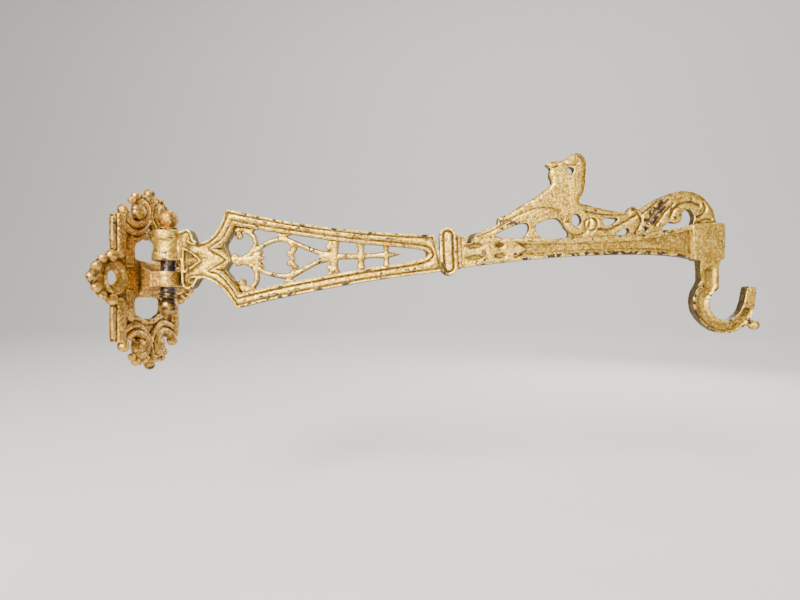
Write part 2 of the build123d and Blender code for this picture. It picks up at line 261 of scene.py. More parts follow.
plate = []
window = fair([(-11.7, 12.4), (-11.7, 16.0), (-10.6, 18.4), (-8.0, 19.4), (-5.4, 20.8), (-2.6, 21.4),
               (0, 21.0), (2.6, 21.4), (5.4, 20.8), (8.0, 19.4), (10.6, 18.4), (11.7, 16.0), (11.7, 12.4),
               (10.2, 10.2), (0, 9.6), (-10.2, 10.2)], closed=True)
sinks = [circle * 6.6 + (side * screw_s, 0) for side in (-1, 1)]
shoulder = fair([(web_edge, -12.0), (30.9, -11.4), (36.9, -9.2), (41.1, -5.4), (44.1, 0), (41.1, 5.4),
                 (36.9, 9.2), (30.9, 11.4), (web_edge, 12.0)])
half_web = np.vstack([[(web_edge, -web_end)], shoulder, [(web_edge, web_end)]])
plate.append(slab(plate_board, np.vstack([half_web, -half_web]), 0, web,
                  (window, window * (1, -1), *sinks)))
for side in (-1, 1):
    # screw boss: a dished eye inside a ring of balls that runs out to a point
    dish = [(3.35, 0), (8.6, 0), (8.8, 2.6), (8.2, 3.6), (7.5, 4.0), (6.9, 3.6), (5.2, 1.8), (3.4, 0.5)]
    plate.append(turned(plate_board, (side * screw_s, 0, 0), dish))
    beads = [(-17.0, 0, 2.7), (-13.7, 5.0, 2.5), (-9.5, 8.9, 2.1), (-2.8, 10.7, 3.0)]
    for s, h, r in beads + [(s, -h, r) for s, h, r in beads[1:]]:
        plate.append(ball(plate_board, (side * (screw_s - s), h, 2.7), r))
    for end in (-1, 1):
        quarter = plate_board @ Matrix.Diagonal((side, end, 1, 1))
        # rail: a broad roll with a thin bead low down outside it and a softer roll by the window
        plate.append(roll(quarter, [(23.6, 12.6), (23.6, web_end)], 3.2, 2.5, 0.8))
        plate.append(ball(quarter, (23.6, 12.8, 2.5), 3.2, 0.8))
        plate.append(drawn(quarter, [(27.7, 14.4), (28.2, 20), (28.0, 30.2)], 1.6, 1.6))
        plate.append(drawn(quarter, [(16.4, 6), (16.6, 13), (16.2, 18), (13.8, 21.4)],
                           [3.0, 3.3, 3.1, 1.8], 2.4, 0.55))
        # arch from the rail's head to the middle, with a small curl where it meets the window
        arch = [(24.0, 28.4), (19.6, 25.6), (15.4, 24.2), (11.7, 23.9), (8.6, 24.8), (5.6, 26.8),
                (2.8, 29.4), (0, 32.4)]
        plate.append(drawn(quarter, arch, [1.5, 1.7, 1.7, 1.7, 1.7, 1.7, 1.6, 1.5], 2.9, 1.15))
        lip = [(12.4, 20.6), (8.6, 21.0), (5.6, 22.3), (2.6, 23.2), (0, 22.9)]
        plate.append(drawn(quarter, lip, [0.9, 1.1, 1.3, 1.2, 1.1], 2.4, 1.1))
        # scroll: from a small ball, under the gap, round into the volute and its leaves
        scroll = [(21.6, 33.8), (20.4, 31.2), (17.0, 29.0), (12.8, 28.0), (8.8, 28.8), (5.6, 31.0),
                  (4.0, 34.6), (4.6, 38.0), (7.4, 40.0), (10.4, 39.0), (11.6, 36.6), (10.2, 34.8)]
        thick = [2.7, 2.2, 1.9, 2.0, 2.3, 2.6, 2.8, 2.8, 2.5, 2.1, 1.8, 1.5]
        plate.append(drawn(quarter, scroll, thick, 2.8, 1.15))
        plate.append(ball(quarter, (21.6, 34.2, 2.9), 3.1))
        plate.append(ball(quarter, (8.6, 35.2, 2.6), 4.6, 0.7))
        plate.append(slab(quarter, fair([(0, 28), (6, 25), (14, 24), (23, 28), (20, 31), (12.4, 30.2),
                                         (11.6, 38), (6, 42), (0, 42)], closed=True), 0, 2.4))
        for s, h, r in ((14.8, 40.2, 2.0), (11.4, 43.0, 2.3), (7.6, 43.6, 1.8), (3.6, 42.4, 2.6)):
            plate.append(ball(quarter, (s, h, 2.6), r))
        if side > 0:
            stem = [(0, 33), (0, 37), (0, 41), (0, 44)]
            plate.append(drawn(quarter, stem, [1.5, 2.0, 2.8, 3.0], 2.9, 1.1))
            plate.append(ball(quarter, (0, 45.7, 2.9), 3.0))
            plate.append(ball(quarter, (0, 32.8, 3.9), 1.5))
            plate.append(ball(quarter, (0, 22.6, 2.9), 1.6))
            plate.append(ball(quarter, (3.4, 22.0, 2.7), 1.2))
# lug: a wedge off the web that thins to a round eye
lug_board = board((0, 0, 0), (1, 0, 0), (0, 0, 1), (0, -1, 0))
wedge = [(0, 8.6), (2.8, 8.6), (5.2, 5.9), (9.2, 4.0), (9.2, -4.0), (5.2, -5.9), (2.8, -8.6), (0, -8.6)]
plate.append(slab(lug_board, wedge, -8.0, 8.0))
tongue = [(-pin_out, -8.0), (-6.4, -7.6)]
tongue += [(7.3 * cos(a), 7.3 * sin(a)) for a in np.arange(-pi * 0.5, pi * 0.51, pi / 20)]
tongue += [(-6.4, 7.6), (-pin_out, 8.0)]
plate.append(slab(pin_board, tongue, -4.0, 4.0, (circle * bore,)))
wall_plate = cast("bracket_wall_plate", plate, grain, 2)


def grind_back(piece):
    """Takes off whatever stands behind the wall's face, as the foundry ground the back flat."""
    place, _ = skin_of(piece.data)
    place[:, 0] = np.maximum(place[:, 0], 0)
    piece.data.vertices.foreach_set("co", place.ravel())


grind_back(wall_plate)
plate_knocks = [(-44, 0, 3.5), (44, 0, 3.5), (-28, 24, 5), (-28, -22, 5), (28, -30, 4),
                (0, -47, 5), (0, 47, 4)]
wear_shade_and_thin(wall_plate, 190_000, plate_board, 2.0, plate_knocks)


def linear(code, alpha=1.0):
    """An sRGB hex colour as the linear values that a shader takes."""
    parts = [int(code[i : i + 2], 16) / 255 for i in (1, 3, 5)]
    return (*[c / 12.92 if c < 0.04045 else ((c + 0.055) / 1.055) ** 2.4 for c in parts], alpha)


def add(tree, kind, inputs=(), give=0, **settings):
    """Adds a node with its settings and links, and gives one of its outputs.

    Inputs are values or other nodes' outputs, in the node's own order or under their sockets.
    A node that ends the tree has no outputs, and is given itself.
    """
    made = tree.nodes.new(kind)
    for name, value in settings.items():
        setattr(made, name, value)
    for socket, value in inputs.items() if isinstance(inputs, dict) else enumerate(inputs):
        if isinstance(value, bpy.types.NodeSocket):
            tree.links.new(value, made.inputs[socket])
        else:
            made.inputs[socket].default_value = value
    return made.outputs[give] if made.outputs else made


def per(size_mm):
    """The noise scale that gives features of a size, in a frame of metres."""
    return 1 / (size_mm * MM)


noise, ranged, mixed, sums = "ShaderNodeTexNoise", "ShaderNodeMapRange", "ShaderNodeMix", "ShaderNodeMath"


def painted_iron(name, paint, dull, dark, bright, iron, chips, shine):
    """Cast iron under bronze-powder paint, brushed on over a sand-cast skin.

    The powder gives a grainy metallic gold; painted shade, with some dirt, darkens the hollows and
    creases, and painted shade darkens the side walls. High edges are pale, rubbed paint and painted
    highlight, and where they were knocked dark iron shows in chips.
    """
    material = bpy.data.materials.new(name)
    material.use_nodes = True
    tree = material.node_tree
    tree.nodes.clear()
    where = add(tree, "ShaderNodeTexCoord", give="Object")
    relief = add(tree, "ShaderNodeAttribute", give="Fac", attribute_name="relief")
    hollow = add(tree, "ShaderNodeAttribute", give="Fac", attribute_name="hollow")
    aside = add(tree, "ShaderNodeAttribute", give="Fac", attribute_name="aside")
    knock = add(tree, "ShaderNodeAttribute", give="Fac", attribute_name="knock")
    mottle = add(tree, noise, {"Vector": where, "Scale": per(8.0), "Detail": 4.0})
    # the sand's grain is drawn about three times its real size, so that it shows at arm's length
    sand = add(tree, noise, {"Vector": where, "Scale": per(1.3), "Detail": 4.0, "Roughness": 0.65})
    ragged = add(tree, noise, {"Vector": where, "Scale": per(2.4), "Detail": 5.0, "Roughness": 0.7})
    chipped = add(tree, noise, {"Vector": where, "Scale": per(3.2), "Detail": 5.0, "Roughness": 0.68})
    # gold: grains of powder over slow drifts of a duller coat
    share = add(tree, ranged, (mottle, 0.38, 0.66, 0.0, 0.6))
    colour = add(tree, mixed, {0: share, 6: linear(paint), 7: linear(dull)}, give=2, data_type="RGBA")
    share = add(tree, ranged, (sand, 0.48, 0.62, 0.0, 0.85))
    colour = add(tree, mixed, {0: share, 6: colour, 7: linear(dull)}, give=2, data_type="RGBA")
    share = add(tree, ranged, (sand, 0.48, 0.38, 0.0, 0.8))
    colour = add(tree, mixed, {0: share, 6: colour, 7: linear(bright)}, give=2, data_type="RGBA")
    # painted shade in the hollows and close under every bead, with some dirt there, and painted shade on
    # the side walls; dark is the shade's colour
    deep = add(tree, ranged, (hollow, 0.06, 0.5, 0.0, 0.95))
    close = add(tree, ranged, (relief, -0.01, -0.08, 0.0, 0.9))
    wall = add(tree, ranged, (aside, 0.4, 0.9, 0.0, 0.93))
    shade_and_dirt = add(tree, sums, (deep, add(tree, sums, (close, wall), operation="MAXIMUM")), operation="MAXIMUM")
    share = add(tree, sums, (shade_and_dirt, add(tree, ranged, (ragged, 0.25, 0.6, 0.6, 1.0))), operation="MULTIPLY")
    colour = add(tree, mixed, {0: share, 6: colour, 7: linear(dark)}, give=2, data_type="RGBA")
    # wear and painted highlight: pale on the high edges, then through to the iron
    high = add(tree, ranged, (relief, 0.03, 0.10))
    share = add(tree, sums, (high, add(tree, ranged, (ragged, 0.44, 0.56, 0.0, 0.75))),
                operation="MULTIPLY")
    colour = add(tree, mixed, {0: share, 6: colour, 7: linear(bright)}, give=2, data_type="RGBA")
    worn = add(tree, sums, (knock, 0.12, chipped), operation="MULTIPLY_ADD")
    edge = add(tree, ranged, (relief, 0.01, 0.04))
    off = add(tree, sums, (edge, add(tree, ranged, (worn, chips, chips + 0.015))), operation="MULTIPLY")
    gouged = add(tree, ranged, (worn, chips + 0.09, chips + 0.105, 0.0, 0.9))
    off = add(tree, sums, (off, gouged), operation="MAXIMUM")
    colour = add(tree, mixed, {0: off, 6: colour, 7: linear(iron)}, give=2, data_type="RGBA")
    grain_rough = add(tree, ranged, (sand, 0.3, 0.7, shine - 0.07, shine + 0.13))
    rough = add(tree, sums, (shade_and_dirt, 0.2, grain_rough), operation="MULTIPLY_ADD")
    height = add(tree, sums, (ragged, 1.2, sand), operation="MULTIPLY_ADD")
    height = add(tree, sums, (off, -0.6, height), operation="MULTIPLY_ADD")
    bump = add(tree, "ShaderNodeBump", {"Height": height, "Strength": 0.9, "Distance": 0.3 * MM})
    metal = add(tree, ranged, (off, 0.0, 1.0, 0.9, 0.3))
    shader = add(tree, "ShaderNodeBsdfPrincipled",
                 {"Base Color": colour, "Roughness": rough, "Metallic": metal, "Normal": bump})
    add(tree, "ShaderNodeOutputMaterial", {"Surface": shader})
    return material


# dark is the painted shade in hollows, under beads and on side walls; bright is pale wear and painted
# highlight
bronze_paint = painted_iron(
    "bronze_powder_paint_on_cast_iron", paint="#CC983C", dull="#785324", dark="#1A0F05", bright="#EDCA78",
    iron="#24140C", chips=0.64, shine=0.36,
)
wall_plate.data.materials.append(bronze_paint)
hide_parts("wall_plate")
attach(wall_plate, "plate")


# ---- Hinge pin ----
# A length of round mild steel, bright once and now brown and dark, scored where it has turned
# in the lug. It is turned down at both ends for the finials.
def machined(name, mesh):
    """A turned piece as an object of its own."""
    piece = bpy.data.objects.new(name, mesh)
    bpy.context.collection.objects.link(piece)
    mesh.polygons.foreach_set("use_smooth", [True] * len(mesh.polygons))
    mesh.set_sharp_from_angle(angle=radians(40))
    return piece


pin_low, pin_high = (corner.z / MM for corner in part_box("hinge_pin"))
nut_top, knuckle_low, knuckle_high = -7.2, 9.8, 26.0
finial_seat = knuckle_high + 0.3
pin_r = 4.0
scores = [(pin_r - depth, height) for height, depth in (
    (nut_top, 0.25), (nut_top + 0.3, 0), (-5.6, 0), (-5.3, 0.12), (-4.9, 0), (5.0, 0), (5.3, 0.1), (5.7, 0),
    (7.2, 0), (7.5, 0.14), (7.9, 0), (finial_seat, 0))]
pin_line = [(0, pin_low + 0.4), (2.4, pin_low + 0.4), (2.8, pin_low + 0.8), (2.8, nut_top)]
pin_line += scores + [(2.8, finial_seat), (2.8, pin_high - 0.8), (2.4, pin_high - 0.4), (0, pin_high - 0.4)]
pin = machined("bracket_hinge_pin", turned(pin_board, (0, 0, 0), pin_line))


def old_steel(name, steel, stain, gold, left):
    """Mild steel gone brown in the hand, with whatever gold paint has stayed on it.

    Wiped and rusted in patches, so gloss and colour both drift; left sets how much paint stays.
    """
    material = bpy.data.materials.new(name)
    material.use_nodes = True
    tree = material.node_tree
    tree.nodes.clear()
    where = add(tree, "ShaderNodeTexCoord", give="Object")
    patch = add(tree, noise, {"Vector": where, "Scale": per(6.0), "Detail": 4.0, "Roughness": 0.55})
    rust = add(tree, noise, {"Vector": where, "Scale": per(1.1), "Detail": 3.0})
    browned = add(tree, ranged, (rust, 0.38, 0.64))
    colour = add(tree, mixed, {0: browned, 6: linear(steel), 7: linear(stain)}, give=2, data_type="RGBA")
    flake = add(tree, ranged, (patch, left, left + 0.03))
    colour = add(tree, mixed, {0: flake, 6: colour, 7: linear(gold)}, give=2, data_type="RGBA")
    rough = add(tree, ranged, (rust, 0.0, 1.0, 0.24, 0.5))
    height = add(tree, sums, (flake, 0.8, rust), operation="MULTIPLY_ADD")
    bump = add(tree, "ShaderNodeBump", {"Height": height, "Strength": 0.6, "Distance": 0.1 * MM})
    shader = add(tree, "ShaderNodeBsdfPrincipled",
                 {"Base Color": colour, "Roughness": rough, "Metallic": 0.85, "Normal": bump})
    add(tree, "ShaderNodeOutputMaterial", {"Surface": shader})
    return material


pin_steel = old_steel("worn_mild_steel", steel="#6A5E58", stain="#2A2220", gold="#8A6A34", left=0.66)
pin.data.materials.append(pin_steel)
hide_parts("hinge_pin")
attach(pin, "pin")


# ---- Top finial ----
# A cast ball on a short ringed neck, driven on to the pin above the knuckle and painted with
# the plate. Its paint is thick, so it keeps most of its gold.
def finial(name, seat, way, neck, radius):
    """A ball on a neck, turned, then skinned as a small casting."""
    middle = neck[-1][1] + radius * 0.86
    rise = [(radius * cos(a), middle + radius * sin(a)) for a in np.arange(-0.32, 0.5, 0.04) * pi]
    line = [(0, 0), *neck, *rise, (0, middle + radius)]
    mesh = turned(pin_board, (0, 0, seat), [(r, way * h) for r, h in line])
    return cast(name, [mesh], 0.22, 1)


top_neck = [(4.3, 0), (4.9, 0.3), (5.0, 0.8), (4.6, 1.2), (3.9, 1.5)]
top_ball = finial("bracket_top_finial", finial_seat, 1, top_neck, 5.1)
wear_shade_and_thin(top_ball, 40_000)
# dark is the painted shade in hollows, under beads and on side walls; bright is pale wear and painted
# highlight
top_ball.data.materials.append(painted_iron(
    "thick_bronze_paint_on_ball", paint="#CC9838", dull="#7A521C", dark="#241405", bright="#EFD080",
    iron="#241A14", chips=0.55, shine=0.34,
))
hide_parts("top_finial")
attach(top_ball, "pin")

# ---- Bottom finial ----
# A domed steel nut with a collar, screwed up under the lug to keep the pin in. Most of its
# paint has gone, so dark steel shows between the flakes.
nut_neck = [(4.2, 0), (4.7, 0.3), (4.7, 1.1), (4.2, 1.5), (4.6, 1.9), (4.6, 2.6), (4.2, 3.0)]
nut = finial("bracket_bottom_finial", nut_top, -1, nut_neck, 4.9)
wear_shade_and_thin(nut, 40_000)
nut.data.materials.append(old_steel(
    "browned_steel_with_flaked_gold", steel="#6A5434", stain="#2A1D12", gold="#A9813C", left=0.52,
))
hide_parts("bottom_finial")
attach(nut, "pin")


# ---- Swing arm ----
# One long grey-iron casting: a knuckle for the pin, a pierced panel, a collar, a waisted bar
# with a bird and leaves on it, a square block and a hook. Both faces carry the same relief.
# It is painted a paler gold than the plate, and its edges are chipped from years of use.
swing, rise = radians(10.0), radians(2.2)
arm_along = (cos(swing) * cos(rise), sin(swing) * cos(rise), sin(rise))
arm_out = (sin(swing), -cos(swing), 0)
arm_up = Vector(arm_out).cross(Vector(arm_along))
arm_board = board((pin_out, 0, 8.6), arm_along, arm_up, arm_out)


def relevel(patterns, level):
    """Moves the points of patterns in or out of the arm's board, to the levels that a rule gives."""
    for mesh in patterns:
        place, _ = skin_of(mesh)
        u, _, n = measured(place, arm_board).T
        place += ((level(u, n) - n) * MM)[:, None] * outward(arm_board)
        mesh.vertices.foreach_set("co", place.ravel())
    return patterns


def frame_half(u):
    """Half the frame's thickness: it is thicker at the knuckle than at the collar."""
    return np.interp(u, (30, 148), (4.5, 3.2))


shoulder_top = fair([(16.4, 10.8), (18.8, 10.1), (21.6, 10.8), (24.9, 12.9), (28.0, 16.4), (30.8, 21.2),
                     (33.0, 27.2)])
edge_top = fair([(33.0, 27.2), (50, 22.9), (67, 19.1), (86, 15.7), (106, 12.8), (126, 10.7), (147, 9.3)])
edge_foot = fair([(147, -9.9), (126, -11.7), (105, -14.0), (85, -16.8), (65.5, -19.9), (50, -22.6),
                  (36.6, -25.4)])
shoulder_foot = fair([(36.6, -25.4), (34.2, -21.2), (31.4, -17.0), (28.0, -13.4), (24.0, -10.6),
                      (19.6, -8.8), (16.8, -9.2)])
ear_foot = fair([(16.8, -9.2), (15.6, -11.2), (14.2, -13.2), (11.6, -14.4), (9.3, -13.4), (8.3, -11.0)])
ear_top = fair([(2.0, 16.8), (8.4, 16.6), (11.4, 17.5), (13.6, 16.4), (14.8, 13.8), (15.2, 12.0),
                (16.4, 10.8)])
frame_rim = np.vstack([ear_top[:-1], shoulder_top[:-1], edge_top[:-1], edge_foot[:-1], shoulder_foot[:-1],
                       ear_foot, [(8.2, -5.0), (8.2, 1.2), (2.0, 1.2)]])
opening = np.vstack([
    fair([(37.4, 18.4), (35.6, 14.8), (33.4, 11.4), (31.6, 8.0), (32.6, 4.4), (34.4, 0.5), (32.8, -2.6),
          (31.6, -5.2), (34.6, -9.0), (37.2, -13.2), (38.9, -17.4)]),
    fair([(38.9, -17.4), (50, -15.4), (65.6, -12.7), (85.5, -9.7), (105, -7.2), (122, -5.2), (132, -3.8),
          (136.6, -2.6), (137.9, -0.4), (136.6, 1.7), (132, 2.8), (122, 4.2), (106, 6.2), (86.3, 9.3),
          (66.8, 12.9), (50, 16.0), (37.4, 18.4)])[1:-1],
])
arm = relevel([slab(arm_board, frame_rim, -1, 1, (opening,))], lambda u, n: n * frame_half(u))

# Openwork: scrolls, a heart and a tapering cross, sunk below the faces of the frame
cut_half, made_half = 1.9, 2.4
openwork = []
for web_rim in (
    [(36.2, 19.2), (47.6, 16.8), (45.8, 14.6), (43.0, 15.6), (40.6, 15.6), (37.2, 15.4), (35.4, 16.6)],
    [(37.4, -18.6), (47.4, -16.6), (45.4, -14.2), (43.0, -15.2), (41.2, -13.6), (38.6, -13.2),
     (36.8, -14.8)],
    [(57.8, 14.8), (66.6, 13.2), (63.8, 11.6), (60.4, 11.8)],
    [(60.6, -14.2), (68.4, -12.8), (66.2, -11.0), (62.8, -11.2)],
    [(85.0, 9.8), (92.6, 8.8), (90.8, 6.4), (87.2, 6.4)],
    [(84.8, -10.2), (92.6, -9.0), (90.8, -6.6), (87.0, -6.6)],
):
    openwork.append(slab(arm_board, web_rim, -cut_half, cut_half))
for points, sizes in (
    ([(42.0, 15.6), (45.4, 13.6), (47.0, 10.6), (46.8, 7.2), (45.0, 4.2), (42.4, 2.2), (39.6, 1.2)], 1.45),
    ([(33.6, 0.5), (40.0, 0.3), (46.0, 0.1)], [1.8, 1.8, 2.2]),
    ([(39.8, -0.8), (43.4, -2.0), (46.2, -4.6), (47.4, -8.2), (46.8, -11.8), (44.4, -14.6),
      (42.0, -15.4)], 1.45),
    ([(45.0, 0.4), (49.0, 0.9), (52.8, 0.9)], [2.1, 1.5, 0.35]),
    ([(46.0, -0.8), (49.2, -2.4), (51.8, -3.8)], [2.0, 1.5, 0.35]),
    ([(46.0, 1.8), (49.0, 3.2), (51.2, 4.4)], [1.8, 1.4, 0.35]),
    ([(46.4, 4.2), (50.2, 7.0), (54.0, 9.0), (58.0, 10.2), (61.6, 10.6), (64.8, 9.6), (66.8, 6.8),
      (67.0, 4.0), (65.8, 2.4)], [1.5, 1.35, 1.3, 1.35, 1.5, 1.6, 1.6, 1.6, 1.4]),
    ([(46.6, -3.2), (51.0, -6.3), (54.6, -7.8), (58.6, -8.7), (62.2, -9.3), (65.6, -8.4), (67.7, -5.8),
      (67.2, -3.4), (65.6, -2.2)], [1.5, 1.35, 1.3, 1.35, 1.5, 1.6, 1.6, 1.6, 1.4]),
    ([(62.6, 10.8), (72.0, 6.5), (80.0, 3.0), (87.0, 1.2)], [1.5, 1.35, 1.35, 1.6]),
    ([(64.2, -10.2), (72.0, -6.2), (80.0, -2.4), (87.0, -0.8)], [1.5, 1.35, 1.35, 1.6]),
    ([(81.0, 0.3), (92.0, 0.2), (100.0, -0.2), (110.0, -0.2), (116.8, 0), (124.4, 0)],
     [2.0, 1.7, 1.5, 1.35, 1.9, 0.25]),
    ([(88.6, 0.6), (89.2, 3.6), (89.4, 8.0)], [2.9, 2.0, 2.5]),
    ([(88.6, -0.6), (88.8, -4.0), (88.8, -8.0)], [2.9, 2.1, 2.5]),
    ([(103.2, 7.4), (103.4, 2.8), (103.2, -0.2), (103.2, -3.2), (103.0, -7.8)], [2.6, 1.7, 2.7, 1.7, 2.6]),
    ([(116.9, 5.8), (116.8, 2.4), (116.8, 0), (116.7, -2.6), (116.6, -6.0)], [1.9, 1.3, 2.4, 1.3, 1.9]),
    ([(89.0, 8.0), (86.4, 5.6)], [1.6, 1.7]),
    ([(88.6, -7.8), (86.4, -5.8)], [1.6, 1.7]),
):
    openwork.append(drawn(arm_board, points, sizes, 0, 1.6))
for u, v, r in ((38.6, 13.2, 2.2), (39.4, -11.8, 2.3), (36.0, 2.1, 2.0), (37.6, -1.2, 2.0),
                (65.2, 2.6, 1.8), (65.2, -2.3, 1.9), (66.9, 0.1, 1.4), (62.2, 12.2, 2.0),
                (64.6, -11.8, 2.0), (86.2, 5.4, 1.9), (86.4, -5.8, 1.9), (47.2, 0.2, 2.6),
                (68.4, -4.8, 1.5), (68.0, 5.2, 1.4)):
    openwork.append(ball(arm_board, (u, v, 0), r, made_half / r))
arm += relevel(openwork, lambda u, n: made_half * np.tanh(n / cut_half))

# Collar, waisted bar, end block and neck
collar_line = [(149.8, 8.8), (149.8, -7.9)]
collar = [(149.8 + 4.6 * cos(a), 8.7 + 4.6 * sin(a)) for a in np.arange(0, pi + 0.1, pi / 12)]
collar += [(149.8 - 4.6 * cos(a), -7.8 - 4.6 * sin(a)) for a in np.arange(0, pi + 0.1, pi / 12)]
arm.append(slab(arm_board, collar, -4.3, 4.3))
flange = [(153, 8.9), (156.4, 8.6), (156.4, -9.0), (153, -9.4)]
arm.append(slab(arm_board, flange, -3.5, 3.5))
bar_top = fair([(150, 8.5), (165, 7.4), (191, 5.8), (215, 5.0), (235, 4.9), (252, 5.4),
                (264, 7.0), (281, 9.9)])
bar_foot = fair([(281, -9.0), (272, -6.9), (256, -5.2), (232, -4.5), (210, -4.7), (187, -6.0),
                 (165, -7.7), (150, -9.4)])
arm.append(slab(arm_board, np.vstack([bar_top, bar_foot]), -3.2, 3.2))
block = [(279.4, 9.4), (281.6, 10.0), (294.8, 10.2), (296.6, 8.8), (295.6, -8.8), (294.6, -9.9),
         (281.0, -9.5), (279.6, -8.6)]
arm.append(slab(arm_board, block, -4.0, 4.0))
arm.append(slab(arm_board, [(283.0, -9), (293.6, -9), (293.4, -11.9), (283.0, -11.9)], -3.6, 3.6))

# Hook, with the small knob that keeps a ring from riding round the outside
hook_out = fair([(282.8, -20.4), (281.2, -23.2), (279.3, -26.6), (278.4, -31.2), (279.3, -36.8),
                 (282.4, -41.8), (287.0, -46.0), (291.8, -48.2), (296.8, -48.7), (302.0, -47.2),
                 (306.6, -43.8), (309.4, -39.8), (310.6, -36.4)])
hook_in = fair([(305.4, -33.0), (303.4, -37.2), (300.2, -40.3), (296.2, -41.6), (292.0, -40.8),
                (288.7, -38.0), (287.1, -34.2), (287.4, -30.4), (289.5, -27.0), (292.4, -24.8)])
hook = np.vstack([[(282.9, -10.5)], hook_out, [(312.4, -25.6), (311.8, -24.7), (307.6, -24.0)], hook_in,
                  [(292.9, -10.5)]])
arm.append(slab(arm_board, hook, -3.2, 3.2))
arm.append(ball(arm_board, (311.7, -44.9, 0), 2.8, 1.1))
arm.append(drawn(arm_board, [(306.4, -42.0), (309, -43.6), (311, -44.6)], 1.9, 0, 1.2))

# Bird and leaves: a flat crest on the bar's top edge, pierced where daylight shows
bird_back = fair([(158, 7.4), (164, 9.5), (168.5, 10.6), (172.6, 12.2), (176.4, 13.9)])
bird_step = fair([(176.5, 15.9), (177.3, 17.7), (179.2, 18.3), (181.6, 18.6), (185.0, 20.8), (188.8, 23.0),
                  (195.4, 26.5), (199.8, 29.4), (203.6, 32.0), (205.9, 33.9), (206.1, 36.0), (205.2, 38.4),
                  (205.4, 41.0)])
bird_head = fair([(205.9, 42.2), (204.8, 43.4), (203.2, 45.0)])
bird_crown = fair([(203.2, 45.0), (206.8, 46.1), (211.4, 46.3), (214.6, 47.7), (217.2, 49.6), (219.8, 50.3),
                   (222.6, 49.1), (224.4, 46.6), (224.9, 43.0), (224.5, 38.4), (223.9, 33.4), (223.0, 29.6),
                   (221.3, 26.4), (220.3, 24.6)])
leaf_tops = fair([(221.2, 23.2), (225.0, 22.1), (230.0, 20.7), (235.0, 19.3), (240.6, 18.1), (245.4, 17.4)])
leaf_bud = fair([(245.6, 17.6), (247.2, 20.0), (249.2, 20.6), (250.8, 19.2), (252.4, 18.7)])
leaf_curl = fair([(252.6, 18.8), (256.0, 21.2), (261.0, 23.9), (267.6, 26.4), (274.0, 27.7), (280.0, 27.2),
                  (285.0, 24.9), (289.0, 20.8), (291.6, 15.8), (292.6, 11.0)])
crest = np.vstack([bird_back, bird_step, bird_head[:-1], bird_crown, leaf_tops, leaf_bud, leaf_curl,
                   [(292.6, 8.6), (280, 8.0), (264, 4.6), (247, 3.0), (215, 3.0), (190, 3.6), (158, 5.6)]])
pierced = [
    fair([(174.8, 8.1), (179.0, 10.2), (184.0, 12.4), (188.4, 13.7), (191.6, 14.0), (193.0, 12.6),
          (192.8, 9.8), (191.0, 7.2), (188, 5.4), (181, 6.0)], closed=True),
    fair([(196.5, 10.6), (197.6, 13.2), (201.0, 14.6), (205.0, 15.9), (208.4, 15.7), (210.6, 13.6),
          (212.2, 10.6), (214.2, 7.8), (212.6, 5.2), (206, 4.6), (200.4, 5.6), (197.6, 8.0)], closed=True),
    circle * (2.7, 3.3) + (218.4, 14.6),
    fair([(232.6, 12.2), (232.8, 14.6), (235.0, 15.2), (238.6, 14.8), (240.6, 14.2), (238.6, 12.2),
          (235.4, 10.8)], closed=True),
    fair([(239.0, 6.2), (241.6, 7.8), (244.8, 9.2), (246.3, 8.6), (246.0, 6.8), (242.4, 5.6)], closed=True),
    circle * 1.35 + (254.8, 8.5),
    circle * 1.9 + (216.3, 41.0),
    fair([(263.6, 8.0), (265.6, 10.2), (267.8, 11.7), (270.6, 11.0), (273.4, 11.2), (274.4, 13.4),
          (275.0, 16.4), (277.2, 18.0), (279.4, 17.4), (280.8, 14.6), (280.6, 11.6), (278.4, 9.0),
          (271.0, 7.0)], closed=True),
]
arm.append(slab(arm_board, crest, -2.6, 2.6, pierced))

# Knuckle: two bands with a waist between them, bored for the pin
waist = [(bore, knuckle_low), (7.9, knuckle_low), (8.4, 10.3), (8.4, 13.8), (7.7, 14.6), (7.5, 17.6),
         (7.7, 20.6), (8.4, 21.4), (8.4, 25.5), (7.9, knuckle_high), (bore, knuckle_high)]
arm.append(turned(pin_board, (0, 0, 0), waist))
swing_arm = cast("bracket_swing_arm", arm, grain, 2)

bead_line = np.vstack([
    fair([(36.3, 20.2), (34.6, 16.8), (32.8, 13.7), (31.0, 11.2), (28.2, 9.0), (24.0, 6.5)]),
    fair([(24.0, 6.5), (27.6, 4.5), (30.6, 2.6), (33.2, 0.2)])[1:],
    fair([(33.2, 0.2), (30.6, -1.8), (27.6, -3.4), (23.6, -5.0)])[1:],
    fair([(23.6, -5.0), (26.8, -5.6), (29.8, -7.9), (32.8, -11.3), (35.6, -15.2), (37.8, -19.3)])[1:],
    fair([(37.8, -19.3), (50, -16.7), (65.6, -13.9), (85.5, -10.8), (105, -8.2), (122, -6.3), (132, -5.0),
          (138.2, -3.4), (141.0, -0.5), (138.4, 2.4), (132, 3.9), (122, 5.3), (106, 7.4), (86.3, 10.4),
          (66.8, 14.0), (50, 17.2), (36.3, 20.2)])[1:-1],
])


def reach(place, path, closed=False, most=9.0):
    """Each point's distance to a path, in mm, or most where it is further off than that."""
    path = np.array(path, float)
    starts, ends = (path, np.roll(path, -1, axis=0)) if closed else (path[:-1], path[1:])
    nearest = np.full(len(place), most)
    for start, end in zip(starts, ends):
        low, high = np.minimum(start, end) - most, np.maximum(start, end) + most
        near = np.flatnonzero(((place > low) & (place < high)).all(axis=1))
        step = end - start
        share = ((place[near] - start) @ step) / max(step @ step, 1e-9)
        gap = place[near] - start - np.clip(share, 0, 1)[:, None] * step
        nearest[near] = np.minimum(nearest[near], np.hypot(*gap.T))
    return nearest


